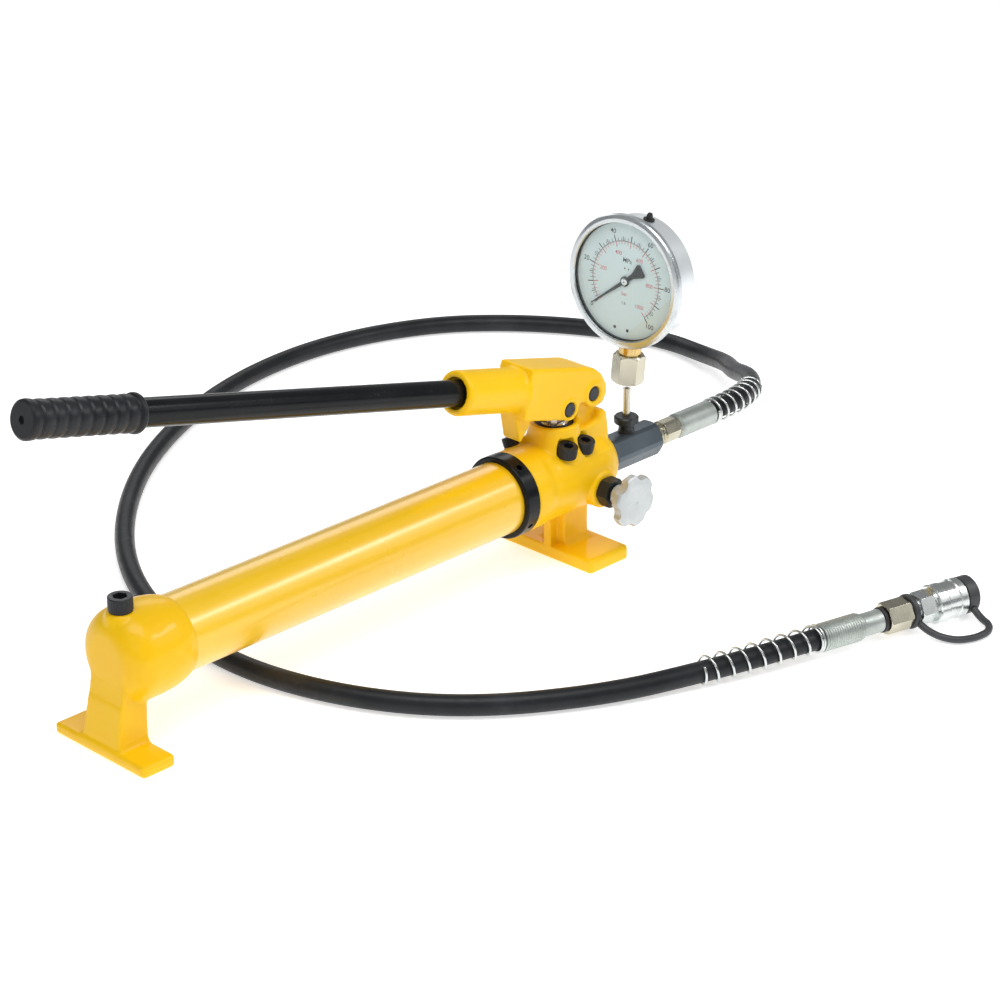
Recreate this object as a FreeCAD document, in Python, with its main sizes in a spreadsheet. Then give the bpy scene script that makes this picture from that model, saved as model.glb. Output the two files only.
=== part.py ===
"""Two-stage hydraulic hand pump with pressure gauge and high-pressure hose.

Frame (mm): origin at the centre of the front foot's base, on the floor.
+X runs along the reservoir towards the pump head and outlet, -Y is the side
of the release valve, +Z is up.
"""
import FreeCAD, Part
import Sketcher
import math
import os

V = FreeCAD.Vector
doc = FreeCAD.newDocument("HandPump")
sheet = doc.addObject("Spreadsheet::Sheet", "Sizes")
sheet_row = [1]


class Dim:
    """A number together with the spreadsheet expression that gives it."""

    def __init__(self, value, text):
        self.value = float(value)
        self.text = text

    def _mix(self, other, sign, swap=False):
        o = dim(other)
        a, b = (o, self) if swap else (self, o)
        if sign == "+":
            v = a.value + b.value
        elif sign == "-":
            v = a.value - b.value
        elif sign == "*":
            v = a.value * b.value
        else:
            v = a.value / b.value
        return Dim(v, "(%s %s %s)" % (a.text, sign, b.text))

    def __add__(self, o): return self._mix(o, "+")
    def __radd__(self, o): return self._mix(o, "+", True)
    def __sub__(self, o): return self._mix(o, "-")
    def __rsub__(self, o): return self._mix(o, "-", True)
    def __mul__(self, o): return self._mix(o, "*")
    def __rmul__(self, o): return self._mix(o, "*", True)
    def __truediv__(self, o): return self._mix(o, "/")
    def __neg__(self): return Dim(-self.value, "(0 - %s)" % self.text)
    def __float__(self): return self.value


def dim(x):
    return x if isinstance(x, Dim) else Dim(x, repr(float(x)))


def size(alias, value):
    """Put one driving dimension in the sheet."""
    r = sheet_row[0]
    sheet.set("A%d" % r, alias)
    sheet.set("B%d" % r, repr(float(value)))
    sheet.setAlias("B%d" % r, alias)
    sheet_row[0] = r + 1
    return Dim(value, "Sizes.%s" % alias)


def bind(obj, prop, d):
    """Set a property and bind it to the sheet when it comes from there."""
    d = dim(d)
    if "." not in prop:
        setattr(obj, prop, d.value)
    if "Sizes." in d.text:
        obj.setExpression(prop, d.text)


# ------------------------------------------------------------------ sizes
axis_z = size("axis_z", 71.0)             # height of the reservoir axis
tube_od = size("tube_od", 60.0)
tube_wall = size("tube_wall", 3.5)
tube_back = size("tube_back", -462.0)
tube_front = size("tube_front", -50.0)
ring_od = size("ring_od", 69.0)
ring_wide = size("ring_wide", 14.3)
head_back = size("head_back", -66.2)
head_front = size("head_front", 42.0)
head_od = size("head_od", 65.6)
foot_long = size("foot_long", 46.2)       # front foot, along X
foot_half = size("foot_half", 50.0)       # front foot, half width in Y
foot_thick = size("foot_thick", 11.0)
rear_back = size("rear_back", -491.6)
rear_front = size("rear_front", -461.0)
rear_half = size("rear_half", 50.6)
rear_thick = size("rear_thick", 8.6)
cap_od = size("cap_od", 73.0)
cap_front = size("cap_front", -419.0)
cap_back = size("cap_back", -480.0)
fill_x = size("fill_x", -463.8)
fill_z = size("fill_z", 105.5)
fill_od = size("fill_od", 18.6)
pump_x = size("pump_x", -14.75)           # plunger axis
pump_top = size("pump_top", 119.5)        # top of the plunger boss
low_bore = size("low_bore", 23.0)         # low-pressure plunger diameter
high_bore = size("high_bore", 12.0)       # high-pressure plunger diameter
gland_od = size("gland_od", 32.0)
pivot_x = size("pivot_x", 13.0)           # fulcrum pin
pivot_z = size("pivot_z", 139.1)
crank_x = size("crank_x", -15.4)          # pin that drives the plunger
crank_z = size("crank_z", 133.4)
pin_od = size("pin_od", 12.0)
lug_half = size("lug_half", 9.2)
cheek_in = size("cheek_in", 9.8)
cheek_out = size("cheek_out", 18.0)
rise = size("rise", 13.63)                # handle angle at rest, degrees
grip_far = size("grip_far", 566.5)        # from the fulcrum along the handle
lever_od = size("lever_od", 21.5)
socket_od = size("socket_od", 36.4)
socket_far = size("socket_far", 146.0)
axis_up = size("axis_up", 2.0)            # handle axis above the fulcrum
out_z = size("out_z", 68.6)               # outlet axis
bar_af = size("bar_af", 28.7)
bar_back = size("bar_back", 47.0)
bar_front = size("bar_front", 104.3)
stem_x = size("stem_x", 73.2)
stem_od = size("stem_od", 6.5)
nut_af = size("nut_af", 24.0)
nut_low = size("nut_low", 128.2)
nut_high = size("nut_high", 24.6)
lean = size("lean", 3.0)                  # gauge leans back, degrees
turn = size("turn", 4.4)                  # gauge turned on its stem, degrees
roll = size("roll", 3.0)                  # gauge leans sideways, degrees
gauge_up = size("gauge_up", 91.0)         # nut base to gauge centre
gauge_out = size("gauge_out", 20.7)       # stem axis to bezel face
bezel_od = size("bezel_od", 112.4)
glass_od = size("glass_od", 98.6)
case_od = size("case_od", 103.4)
case_deep = size("case_deep", 31.7)
valve_x = size("valve_x", 10.0)           # release valve axis
valve_z = size("valve_z", 60.2)
valve_boss = size("valve_boss", 31.0)
valve_face = size("valve_face", -35.0)
knob_od = size("knob_od", 45.0)
knob_face = size("knob_face", -69.6)
plug_od = size("plug_od", 16.4)
hose_od = size("hose_od", 16.6)
ferrule_od = size("ferrule_od", 21.6)
ferrule_end = size("ferrule_end", 180.0)
collar_od = size("collar_od", 31.6)
doc.recompute()

made = {}          # node name -> object


def keep(name, obj):
    obj.Label = name
    made[name] = obj
    return obj


counter = [0]


def tag(kind):
    counter[0] += 1
    return "%s%03d" % (kind, counter[0])


def place(origin, z_dir=(0, 0, 1), x_dir=None):
    """Placement whose local Z points along z_dir."""
    z = V(*z_dir).normalize()
    if x_dir is None:
        x_dir = (1, 0, 0) if abs(z.x) < 0.9 else (0, 1, 0)
    x = V(*x_dir)
    x = (x - z * x.dot(z)).normalize()
    y = z.cross(x)
    m = FreeCAD.Matrix(x.x, y.x, z.x, float(origin[0]),
                       x.y, y.y, z.y, float(origin[1]),
                       x.z, y.z, z.z, float(origin[2]), 0, 0, 0, 1)
    return FreeCAD.Placement(m)


def locate(obj, origin, z_dir=(0, 0, 1), x_dir=None):
    """Give obj its Placement, with the position bound to the sheet."""
    obj.Placement = place(origin, z_dir, x_dir)
    for ax, o in zip("xyz", origin):
        bind(obj, "Placement.Base." + ax, o)
    return obj


def plane(body, role):
    return [f for f in body.Origin.OriginFeatures if f.Role == role][0]


def outline(body, role, points, circles=(), lift=None):
    """A fully dimensioned closed outline, every coordinate from the sheet."""
    sk = body.newObject("Sketcher::SketchObject", tag("Sketch"))
    sk.AttachmentSupport = [(plane(body, role), "")]
    sk.MapMode = "FlatFace"
    if lift is not None:
        lift = dim(lift)
        sk.AttachmentOffset = FreeCAD.Placement(V(0, 0, lift.value), FreeCAD.Rotation())
        if "Sizes." in lift.text:
            sk.setExpression("AttachmentOffset.Base.z", lift.text)
    pts = [(dim(a), dim(b)) for a, b in points]
    n = len(pts)
    for i in range(n):
        a, b = pts[i], pts[(i + 1) % n]
        sk.addGeometry(Part.LineSegment(V(a[0].value, a[1].value, 0), V(b[0].value, b[1].value, 0)), False)
    for i in range(n):
        sk.addConstraint(Sketcher.Constraint("Coincident", i, 2, (i + 1) % n, 1))
    for i in range(n):
        for kind, d, line in (("DistanceX", pts[i][0], -2), ("DistanceY", pts[i][1], -1)):
            if abs(d.value) < 1e-9:
                sk.addConstraint(Sketcher.Constraint("PointOnObject", i, 1, line))
                continue
            c = sk.addConstraint(Sketcher.Constraint(kind, -1, 1, i, 1, d.value))
            if "Sizes." in d.text:
                sk.setExpression("Constraints[%d]" % c, d.text)
    for cu, cv, cr in circles:
        cu, cv, cr = dim(cu), dim(cv), dim(cr)
        g = sk.addGeometry(Part.Circle(V(cu.value, cv.value, 0), V(0, 0, 1), cr.value), False)
        for kind, d, line in (("DistanceX", cu, -2), ("DistanceY", cv, -1)):
            if abs(d.value) < 1e-9:
                sk.addConstraint(Sketcher.Constraint("PointOnObject", g, 3, line))
            else:
                c = sk.addConstraint(Sketcher.Constraint(kind, -1, 1, g, 3, d.value))
                if "Sizes." in d.text:
                    sk.setExpression("Constraints[%d]" % c, d.text)
        c = sk.addConstraint(Sketcher.Constraint("Radius", g, cr.value))
        if "Sizes." in cr.text:
            sk.setExpression("Constraints[%d]" % c, cr.text)
    return sk


def turned(points, rounds=(), chamfers=()):
    """Turned piece about local Z. points are (radius, height).
    rounds / chamfers: (radius, height, amount) of circular edges."""
    body = doc.addObject("PartDesign::Body", tag("Body"))
    sk = outline(body, "XZ_Plane", points)
    rev = body.newObject("PartDesign::Revolution", tag("Revolution"))
    rev.Profile = sk
    rev.ReferenceAxis = (sk, ["V_Axis"])
    rev.Angle = 360
    doc.recompute()
    for kind, group in (("PartDesign::Fillet", rounds), ("PartDesign::Chamfer", chamfers)):
        for r, h, amount in group:
            base = body.Tip
            names = ["Edge%d" % (i + 1) for i, e in enumerate(base.Shape.Edges)
                     if isinstance(e.Curve, Part.Circle) and abs(e.Curve.Radius - float(r)) < 0.02
                     and abs(e.Curve.Center.z - float(h)) < 0.02]
            f = body.newObject(kind, tag("Edge"))
            f.Base = (base, names)
            if kind.endswith("Fillet"):
                f.Radius = amount
            else:
                f.Size = amount
            doc.recompute()
    return body


def pad(role, points, length, circles=(), lift=None, mid=False):
    """Extruded outline."""
    body = doc.addObject("PartDesign::Body", tag("Body"))
    sk = outline(body, role, points, circles, lift)
    p = body.newObject("PartDesign::Pad", tag("Pad"))
    p.Profile = sk
    bind(p, "Length", length)
    p.Midplane = mid
    doc.recompute()
    return body


def cyl(r, height, origin=(0, 0, 0), z_dir=(0, 0, 1)):
    c = doc.addObject("Part::Cylinder", tag("Cylinder"))
    bind(c, "Radius", r)
    bind(c, "Height", height)
    locate(c, origin, z_dir)
    return c


def cone(r1, r2, height, origin=(0, 0, 0), z_dir=(0, 0, 1)):
    c = doc.addObject("Part::Cone", tag("Cone"))
    bind(c, "Radius1", r1)
    bind(c, "Radius2", r2)
    bind(c, "Height", height)
    locate(c, origin, z_dir)
    return c


def box(lx, ly, lz, origin):
    b = doc.addObject("Part::Box", tag("Box"))
    bind(b, "Length", lx)
    bind(b, "Width", ly)
    bind(b, "Height", lz)
    locate(b, origin)
    return b


def sphere(r, origin):
    s = doc.addObject("Part::Sphere", tag("Sphere"))
    bind(s, "Radius", r)
    locate(s, origin)
    return s


def hexbar(af, height, origin=(0, 0, 0), z_dir=(0, 0, 1), x_dir=None):
    """Hexagonal prism; a corner points along local X."""
    p = doc.addObject("Part::Prism", tag("Prism"))
    p.Polygon = 6
    bind(p, "Circumradius", dim(af) * 0.5773503)
    bind(p, "Height", height)
    locate(p, origin, z_dir, x_dir)
    return p


def fuse(*objs):
    """Union; a single piece is carried through so it can take its own Placement."""
    if len(objs) == 1:
        f = doc.addObject("Part::Refine", tag("Single"))
        f.Source = objs[0]
    else:
        f = doc.addObject("Part::MultiFuse", tag("Fuse"))
        f.Shapes = list(objs)
    doc.recompute()
    return f


def cut(base, *tools):
    tool = tools[0] if len(tools) == 1 else fuse(*tools)
    c = doc.addObject("Part::Cut", tag("Cut"))
    c.Base = base
    c.Tool = tool
    doc.recompute()
    return c


def common(a, b):
    c = doc.addObject("Part::Common", tag("Common"))
    c.Base = a
    c.Tool = b
    doc.recompute()
    return c


def soften(obj, test, amounts):
    """Round the edges that pass the test, with the largest amount that holds."""
    for amount in amounts:
        ids = [i + 1 for i, e in enumerate(obj.Shape.Edges) if test(e)]
        if not ids:
            print("no edge to round on", obj.Name)
            return obj
        f = doc.addObject("Part::Fillet", tag("Fillet"))
        f.Base = obj
        f.Edges = [(i, amount, amount) for i in ids]
        doc.recompute()
        sh = f.Shape
        if not sh.isNull() and sh.isValid() and "Invalid" not in f.State and sh.Volume > 0.8 * obj.Shape.Volume:
            return f
        doc.removeObject(f.Name)
    print("left sharp:", obj.Name)
    return obj


def hexnut(af, height, bore_r, crown=1.4):
    """Nut along local Z with turned crowns at both ends and a plain bore."""
    rr = dim(af) * 0.5773503
    blank = turned([(bore_r, 0), (rr - crown, 0), (rr, crown * 0.8), (rr, dim(height) - crown * 0.8),
                    (rr - crown, height), (bore_r, height)])
    return common(blank, hexbar(af, height))


def capscrew(head_r, head_h, shank_r, shank_l, hex_af, hex_deep, flutes=24):
    """Socket head plug along local Z; the head's seat is at z = 0."""
    blank = turned([(0, -dim(shank_l)), (dim(shank_r) - 0.6, -dim(shank_l)), (shank_r, -dim(shank_l) + 0.6),
                    (shank_r, 0), (head_r, 0), (head_r, head_h), (0, head_h)],
                   rounds=[(head_r, head_h, 0.9)], chamfers=[(head_r, 0, 0.4)])
    hexs = hexbar(hex_af, hex_deep, (0, 0, dim(head_h) - hex_deep))
    tip = cone(0.4, dim(hex_af) * 0.44, 2.0, (0, 0, dim(head_h) - hex_deep - 1.6))
    flats = []
    for i in range(flutes):
        a = 2 * math.pi * i / flutes
        flats.append(cyl(0.55, dim(head_h) - 2.4, ((float(head_r) + 0.18) * math.cos(a), (float(head_r) + 0.18) * math.sin(a), 1.0)))
    return cut(blank, hexs, tip, *flats)


X_DIR = (1, 0, 0)

# ------------------------------------------------------- reservoir and ends
tube = turned([(tube_od / 2 - tube_wall, 0), (tube_od / 2, 0), (tube_od / 2, tube_front - tube_back),
               (tube_od / 2 - tube_wall, tube_front - tube_back)])
tube = locate(tube, (tube_back, 0, axis_z), X_DIR)
keep("reservoir_tube", cut(fuse(tube), cyl(6.4, 20.0, (fill_x, 0, axis_z + 20.0))))

ring = turned([(tube_od / 2, 0), (ring_od / 2, 0), (ring_od / 2, ring_wide), (tube_od / 2, ring_wide)],
              rounds=[(ring_od / 2, 0, 1.6)], chamfers=[(ring_od / 2, ring_wide, 0.6)])
spanner = []
for k in range(4):
    a = math.radians(30 + 90 * k)
    d = (0, math.cos(a), math.sin(a))
    spanner.append(cyl(2.6, 6, (7.2, d[1] * -36.0 * -1, d[2] * 36.0), (0, -d[1], -d[2])))
ring = locate(ring, (0, 0, 0), X_DIR)
ringc = cut(ring, *spanner)
keep("lock_ring", locate(ringc, (head_back - ring_wide, 0, axis_z)))

# rear end cap: dome, leg and foot in one casting
dome = turned([(0, 0), (cap_od / 2, 0), (cap_od / 2, 34), (cap_od / 2 - 0.8, 44), (cap_od / 2 - 2.4, 52), (cap_od / 2 - 4.4, 58),
               (tube_od / 2 + 0.4, cap_front - cap_back), (0, cap_front - cap_back)], rounds=[(cap_od / 2, 0, 20.0)])
locate(dome, (cap_back, 0, axis_z), X_DIR)
leg = pad("XZ_Plane", [(rear_back + 2, 4), (rear_front, 4), (rear_front + 2, 40), (rear_front + 3, 62),
                       (-476.5, 78), (-479.0, 62), (-481.5, 46), (-485.5, 28), (-488.6, 14)], 39.0, mid=True)
flare = pad("YZ_Plane", [(-25, 6.5), (25, 6.5), (22.4, 10.5), (20.9, 14), (20.2, 20), (19.8, 30), (19.4, 40), (-19.4, 40), (-19.8, 30), (-20.2, 20),
                         (-20.9, 14), (-22.4, 10.5)], 26.6, lift=-488.0)
flare_front = pad("XZ_Plane", [(-489, 6), (rear_front, 6), (rear_front + 2.0, 40), (-483.5, 40), (-486, 26), (-488.4, 15)], 90.0, mid=True)
flare = common(flare, flare_front)
plate = box(rear_front - rear_back, rear_half * 2, rear_thick, (rear_back, -rear_half, 0))
plate = soften(plate, lambda e: (abs(e.BoundBox.ZLength) > 5) or (e.BoundBox.ZMin > 8 and e.BoundBox.XLength > 20), [3.0, 2.0])
boss = cone(13.5, 11.0, 8.0, (fill_x, 0, fill_z - 7.0))
cap = fuse(dome, leg, flare, plate, boss)
cap = soften(cap, lambda e: e.Length > 6 and abs(e.BoundBox.ZMax - 105.5) > 9 and e.BoundBox.ZMin > 10
             and e.BoundBox.ZMax < 75 and e.BoundBox.ZLength > 8 and e.BoundBox.YLength < 16, [3.0, 2.0, 1.2])
bore = turned([(0, 0), (tube_od / 2, 0), (tube_od / 2, 60), (0, 60)])
locate(bore, (tube_back, 0, axis_z), X_DIR)
inner = cyl(tube_od / 2 - tube_wall - 1.0, 9.0, (tube_back - 8.0, 0, axis_z), X_DIR)
filler_hole = cyl(6.0, 30, (fill_x, 0, fill_z - 22))
spot = cyl(10.2, 8.0, (fill_x, 0, fill_z + 1.0))
cap = cut(cap, bore, inner, filler_hole, spot)
keep("rear_cap", cap)

plug = capscrew(fill_od / 2, 10.2, 5.9, 9.0, 9.8, 5.0, 30)
keep("filler_plug", locate(plug, (fill_x, 0, fill_z + 2.4)))
washer = turned([(5.95, 0), (8.6, 0), (8.6, 1.4), (5.95, 1.4)])
keep("filler_washer", locate(washer, (fill_x, 0, fill_z + 1.0)))

# ------------------------------------------------------------- pump head
barrel = turned([(0, 0), (ring_od / 2 - 0.3, 0), (ring_od / 2 - 0.3, 15), (head_od / 2, 22),
                 (head_od / 2, head_front - head_back - 26), (head_od / 2 - 1.2, head_front - head_back - 19),
                 (head_od / 2 - 4.4, head_front - head_back - 10.5), (head_od / 2 - 9.4, head_front - head_back - 3.6),
                 (16.6, head_front - head_back), (0, head_front - head_back)],
                rounds=[(head_od / 2, 22, 6.0), (ring_od / 2 - 0.3, 0, 0.8)])
locate(barrel, (head_back, 0, axis_z), X_DIR)
roof = pad("YZ_Plane", [(-28, 62), (-28, 89.5), (-25, 92.4), (4, 107.5), (14, 108), (25, 99), (27, 90), (27, 62)],
           61.0, lift=-36.0)
roof = soften(roof, lambda e: e.BoundBox.XLength > 50 and e.BoundBox.ZMin > 80, [3.0, 2.0])
bossp = turned([(0, 0), (27.5, 0), (27.5, 14), (23.5, 24), (21.0, 33), (20.2, pump_top - 80), (0, pump_top - 80)],
               rounds=[(20.2, pump_top - 80, 1.8), (21.0, 33, 4.0)])
locate(bossp, (pump_x, 0, 80))
shoulder = pad("XZ_Plane", [(-6, 80), (33.5, 80), (33, 106), (31, 118), (28, 121), (23, 121), (20, 115), (8, 112), (-6, 112)],
               34.0, mid=True)
shoulder = soften(shoulder, lambda e: e.BoundBox.YLength < 1 and e.BoundBox.ZMin > 100 and e.BoundBox.XMax > 7, [3.2, 2.2, 1.4])
lug = fuse(cyl(10.5, lug_half * 2, (pivot_x, -lug_half, pivot_z), (0, 1, 0)),
           box(21.0, lug_half * 2, pivot_z - 95, (pivot_x - 10.5, -lug_half, 95)))
valveb = cyl(valve_boss / 2, 35.0 - 6.0, (valve_x, -6.0, valve_z), (0, -1, 0))
valvebs = turned([(0, 0), (valve_boss / 2 + 2.5, 0), (valve_boss / 2, 20), (valve_boss / 2, 29), (0, 29)],
                 rounds=[(valve_boss / 2, 29, 2.2)])
locate(valvebs, (valve_x, -6.0, valve_z), (0, -1, 0))
BLEED_DIR = (0, 0.42, 0.9075)
bleedb = cyl(7.4, 21, (-43, 11.5, 80.0), BLEED_DIR)
legf = pad("XZ_Plane", [(-14, 5), (14, 5), (14, 55), (-14, 55)], 24.0, mid=True)
ribf = pad("XZ_Plane", [(-foot_long / 2 + 0.6, 5), (foot_long / 2 - 0.6, 5), (foot_long / 2 - 0.6, 44), (20, 55), (-26, 55), (-foot_long / 2 + 0.6, 38)], 7.5, mid=True)
flaref = pad("YZ_Plane", [(-16.5, 9.5), (16.5, 9.5), (14.0, 13), (12.6, 17), (12, 24), (-12, 24), (-12.6, 17), (-14.0, 13)], 28.0, lift=-14.0)
foot = box(foot_long, foot_half * 2, foot_thick, (-foot_long / 2, -foot_half, 0))
foot = soften(foot, lambda e: (abs(e.BoundBox.ZLength) > 5) or (e.BoundBox.ZMin > 10 and e.BoundBox.XLength > 30), [3.6, 2.4])
head = fuse(barrel, roof, bossp, shoulder, valvebs, bleedb, legf, ribf, flaref, foot, lug)

# bores of the head
SIN, COS = math.sin, math.cos
tilt = math.radians(14)
PLUG_DIR = (0, -SIN(tilt), COS(tilt))
plug_pos = [(-22.8, -21.2, 96.6), (-1.4, -20.1, 95.1)]
head_cuts = [
    turned([(0, 0), (tube_od / 2, 0), (tube_od / 2, tube_front - head_back), (25.5, tube_front - head_back),
            (25.5, 22.5), (0, 22.5)]),
    turned([(0, 38), (2.0, 38), (2.0, 41), (high_bore / 2 + 0.05, 44), (high_bore / 2 + 0.05, 66),
            (low_bore / 2 + 0.05, 66), (low_bore / 2 + 0.05, 104), (13.4, 104), (13.4, 109.1), (gland_od / 2, 109.1), (gland_od / 2, 122), (0, 122)]),
    turned([(0, 0), (10.0, 0), (10.0, 20), (5.2, 20), (5.2, 33), (2.0, 33), (2.0, 45.5), (0, 45.5)]),
    turned([(0, 0), (8.0, 0), (8.0, 12), (4.17, 12), (4.17, 25), (1.5, 28), (1.5, 36), (0, 36)]),
    cyl(1.5, 8.0, (valve_x, 0, valve_z)),
    cyl(pin_od / 2 + 0.04, 40, (pivot_x, -20, pivot_z), (0, 1, 0)),
    cyl(4.0, 14, (-46.5, 0, 52), X_DIR),
]
locate(head_cuts[0], (head_back, 0, axis_z), X_DIR)
locate(head_cuts[1], (pump_x, 0, 0))
locate(head_cuts[2], (head_front, 0, out_z), (-1, 0, 0))
locate(head_cuts[3], (valve_x, valve_face, valve_z), (0, 1, 0))
for p in plug_pos:
    start = [p[i] + PLUG_DIR[i] * 13 for i in range(3)]
    h = turned([(0, 0), (8.75, 0), (8.75, 13), (4.5, 13), (4.5, 29), (1.4, 30.5), (1.4, 34), (0, 34)])
    locate(h, start, (0, SIN(tilt), -COS(tilt)))
    head_cuts.append(h)
bp = (-43, 11.5 + 0.42 * 21, 80.0 + 0.9075 * 21)
h = turned([(0, 0), (4.0, 0), (4.0, 12), (0, 13)])
locate(h, bp, (0, -0.42, -0.9075))
head_cuts.append(h)
head = cut(head, *head_cuts)
keep("pump_head", head)

# ------------------------------------------------------- reservoir inside
seal = turned([(24.4, 0), (26.4, 0), (26.4, 2.0), (24.4, 2.0)], rounds=[(26.4, 0, 0.7), (26.4, 2.0, 0.7)])
locate(seal, (tube_front - 2.2, 0, axis_z), X_DIR)
seal2 = turned([(24.4, 0), (26.4, 0), (26.4, 2.0), (24.4, 2.0)], rounds=[(26.4, 0, 0.7), (26.4, 2.0, 0.7)])
locate(seal2, (tube_back + 0.2, 0, axis_z), X_DIR)
keep("tube_seals", fuse(seal, seal2))
pipe = turned([(2.4, 0), (3.9, 0), (3.9, 56), (2.4, 56)])
keep("suction_pipe", locate(pipe, (-96.0, 0, 52), X_DIR))
strainer = turned([(0, 0), (7.0, 0), (7.0, 30), (3.95, 30), (3.95, 28.6), (5.9, 28.6), (5.9, 1.4), (0, 1.4)],
                  chamfers=[(7.0, 0, 1.0)])
slots = [cyl(0.9, 20, (0, 0, 4 + 4 * k), (COS(a), SIN(a), 0)) for k in range(6) for a in (0, math.pi / 3, 2 * math.pi / 3)]
keep("suction_strainer", locate(cut(strainer, *slots), (-122.0, 0, 52), X_DIR))

# --------------------------------------------------------- pumping element
B_Z = crank_z
eye_top = float(crank_z) + 9.0
rod = turned([(0, 50), (high_bore / 2 - 0.8, 50), (high_bore / 2, 51), (high_bore / 2, 74), (low_bore / 2 - 0.8, 74),
              (low_bore / 2, 75), (low_bore / 2, crank_z - 14.6), (low_bore / 2 - 0.8, crank_z - 13.8), (0, crank_z - 13.8)])
locate(rod, (pump_x, 0, 0))
eye = fuse(cyl(10.2, lug_half * 2, (pump_x, -lug_half, crank_z), (0, 1, 0)),
           common(box(20.0, lug_half * 2, 15.5, (pump_x - 10.0, -lug_half, crank_z - 15.5)),
                  cyl(low_bore / 2 - 0.05, 30.0, (pump_x, 0, crank_z - 20.0))))
s1 = cyl(pin_od / 2 + 0.3, 30, (pump_x - 1.25, -15, crank_z), (0, 1, 0))
s2 = cyl(pin_od / 2 + 0.3, 30, (pump_x + 1.25, -15, crank_z), (0, 1, 0))
s3 = box(2.5, 30, pin_od + 0.6, (pump_x - 1.25, -15, crank_z - pin_od / 2 - 0.3))
keep("plunger", cut(fuse(rod, eye), s1, s2, s3))

R1 = low_bore / 2 + 0.05
keep("plunger_seal", locate(turned([(R1, 0), (13.4, 0), (13.4, 5), (R1, 5)]), (pump_x, 0, 104.0)))
keep("plunger_gland", locate(turned([(R1, 0), (gland_od / 2, 0), (gland_od / 2, 9.0), (14.6, 9.0), (14.6, 6.0), (R1, 6.0)],
                                    chamfers=[(gland_od / 2, 9.0, 0.5)]), (pump_x, 0, 109.2)))
keep("plunger_wiper", locate(turned([(R1, 0), (14.5, 0), (14.5, 2.6), (13.5, 3.4), (R1, 3.4)]), (pump_x, 0, 115.2)))


def coil(radius, wire, turns, height, origin, z_dir=(0, 0, 1)):
    """Compression spring as a swept helix."""
    helix = Part.makeHelix(height / turns, height, radius)
    prof = Part.Wire([Part.makeCircle(wire / 2, V(radius, 0, 0), V(0, 1, 0))])
    s = Part.Wire(helix.Edges).makePipeShell([prof], True, True)
    f = doc.addObject("Part::Feature", tag("Coil"))
    f.Shape = s
    f.Placement = place(origin, z_dir)
    return f


# suction check valve below the high-pressure bore, delivery check on the outlet
keep("suction_check_ball", sphere(2.4, (pump_x, 0, 42.4)))
keep("delivery_check_ball", sphere(3.4, (head_front - 30.2, 0, out_z)))
keep("delivery_check_spring", coil(3.6, 0.8, 5.0, 13.8, (float(head_front) - 28.8, 0, float(out_z)), X_DIR))

# relief and unloading valves: knurled socket plugs, springs and balls
plugs, springs, balls = [], [], []
for p in plug_pos:
    s = capscrew(plug_od / 2, 10.0, 4.45, 7.0, 7.6, 5.0, 26)
    plugs.append(locate(s, p, PLUG_DIR))
    q = [p[i] - PLUG_DIR[i] * 12.6 for i in range(3)]
    springs.append(coil(2.9, 0.8, 3.0, 4.5, q, PLUG_DIR))
    q = [p[i] - PLUG_DIR[i] * 14.2 for i in range(3)]
    balls.append(sphere(1.9, q))
keep("relief_valve_plugs", fuse(*plugs))
keep("relief_valve_springs", fuse(*springs))
keep("relief_valve_balls", fuse(*balls))
bleed = capscrew(6.6, 8.0, 3.95, 9.0, 5.6, 3.6, 20)
keep("bleed_plug", locate(bleed, (bp[0], bp[1], bp[2]), BLEED_DIR))

# ------------------------------------------------------------ release valve
gl = hexnut(22.0, 11.0, 4.17, 1.3)
glt = turned([(4.17, 0), (7.9, 0), (7.9, 10.4), (4.17, 10.4)])
locate(gl, (0, 0, 10.4))
gnut = fuse(glt, gl)
keep("release_gland_nut", locate(gnut, (valve_x, valve_face + 10.4, valve_z), (0, -1, 0), (1, 0, 0)))
keep("release_seal", locate(turned([(4.17, 0), (7.8, 0), (7.8, 1.2), (4.17, 1.2)]), (valve_x, valve_face + 11.8, valve_z), (0, -1, 0)))
sp = turned([(0, 0), (1.2, 0), (3.0, 2.2), (4.1, 4.2), (4.1, 49.8), (3.4, 50.8), (0, 50.8)])
keep("release_spindle", locate(sp, (valve_x, -10.8, valve_z), (0, -1, 0)))
keep("release_ball", sphere(1.9, (valve_x, -9.0 + 0.35, valve_z)))

# six-lobed knob with a domed face and a boss behind
kb = turned([(4.1, 0), (8.6, 0), (8.6, 12.6), (14.0, 13.0), (knob_od / 2 - 1.0, 13.4), (knob_od / 2, 14.6), (knob_od / 2, 19.2),
             (knob_od / 2 - 1.4, 20.6), (15.0, 21.4), (0, 21.8), (0, 15.0), (4.1, 15.0)])
scallop = []
for k in range(6):
    a = math.radians(60 * k + 12)
    scallop.append(cyl(8.0, 18, (26.6 * COS(a), 26.6 * SIN(a), 9.0)))
kb = cut(kb, *scallop)
kb = soften(kb, lambda e: e.BoundBox.ZLength > 3 and e.BoundBox.XLength < 3 and e.BoundBox.YLength < 3 and
            (e.CenterOfMass.x ** 2 + e.CenterOfMass.y ** 2) ** 0.5 > 19, [3.2, 2.4, 1.6])
keep("release_knob", locate(kb, (valve_x, knob_face + 21.8, valve_z), (0, -1, 0), (1, 0, 0)))

# ----------------------------------------------------- handle (lever) group
# local frame of the lever: x towards the head, z up, origin at the fulcrum
LEVER = FreeCAD.Placement(V(float(pivot_x), 0, float(pivot_z)), FreeCAD.Rotation(V(0, 1, 0), float(rise)))


def on_lever(obj):
    obj.Placement = LEVER
    for ax, o in zip("xyz", (pivot_x, dim(0), pivot_z)):
        bind(obj, "Placement.Base." + ax, o)
    return obj


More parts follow.
